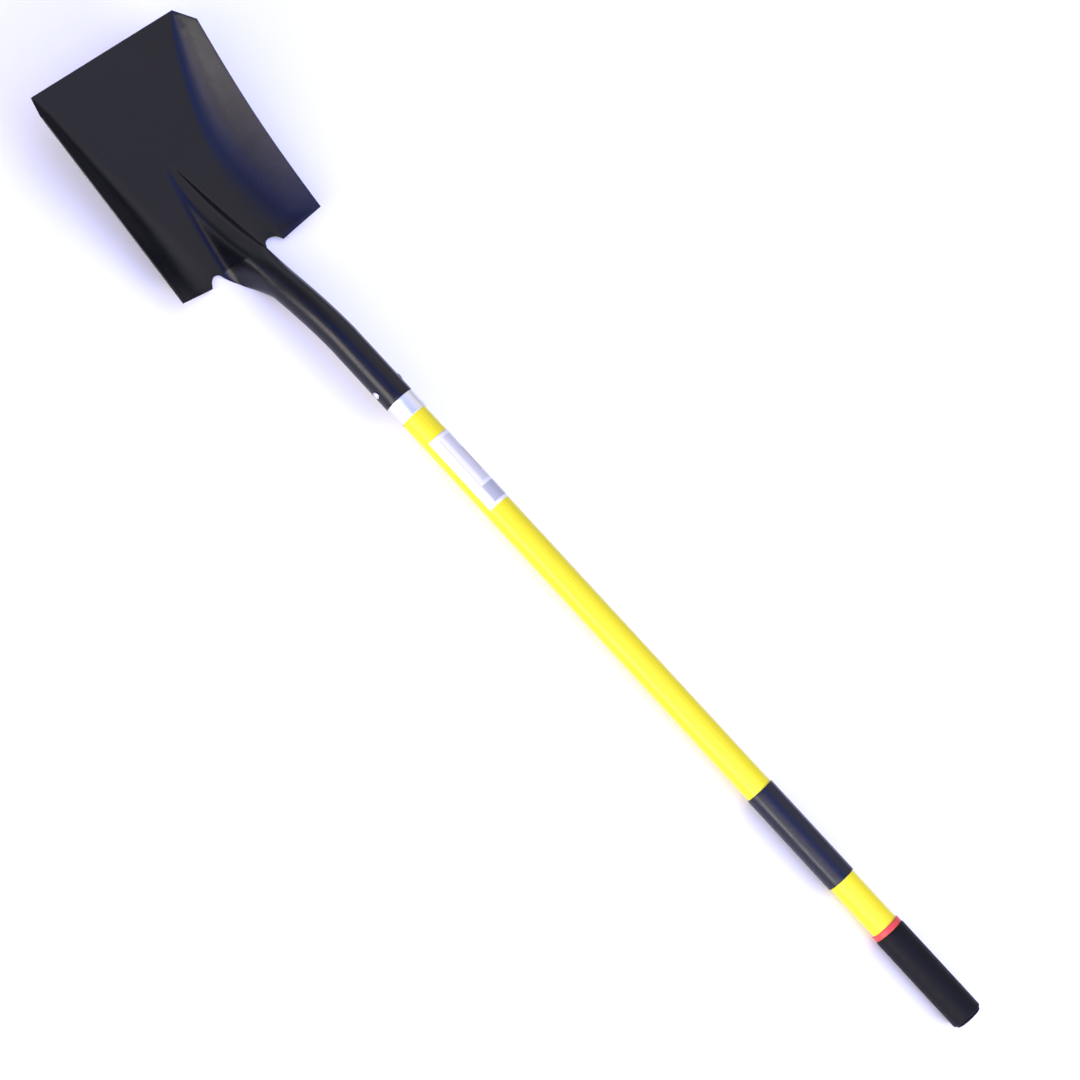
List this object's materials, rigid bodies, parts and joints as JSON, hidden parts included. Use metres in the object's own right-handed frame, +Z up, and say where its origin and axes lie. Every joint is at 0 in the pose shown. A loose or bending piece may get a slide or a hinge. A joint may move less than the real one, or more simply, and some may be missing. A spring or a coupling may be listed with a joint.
{
  "type": "square-mouth shovel",
  "caption": "Long-handled garden spade with a square dished steel blade, cranked socket and straight yellow fibreglass handle with black grips.",
  "frame": {"origin": "bottom centre of the bounding box, on the surface that the shovel lies on, face up", "axes": "+Y from the cutting edge to the end of the grip, +X across the blade, +Z up, out of the blade's front"},
  "size_m": [0.2536, 1.5108, 0.0985],
  "materials": {
    "black_paint": "satin black paint with a bluish sheen",
    "zinc": "zinc plated",
    "yellow_fibreglass": "glossy pultruded fibreglass",
    "hardwood": "plain hardwood",
    "bright_metal": "bright satin",
    "label": "printed film label",
    "black_vinyl": "glossy dipped vinyl",
    "red_vinyl": "semi-gloss",
    "black_rubber": "matt rubber",
    "plug_rubber": "matt rubber"
  },
  "bodies": {
    "root": {"shovel_head": "black_paint", "socket_rivet": "zinc", "rivet_washer": "zinc", "handle_tube": "yellow_fibreglass", "handle_core": "hardwood", "ferrule_collar": "bright_metal", "product_label": "label", "mid_grip": "black_vinyl", "red_trim_ring": "red_vinyl", "end_grip": "black_rubber", "end_plug": "plug_rubber"}
  },
  "joints": []
}
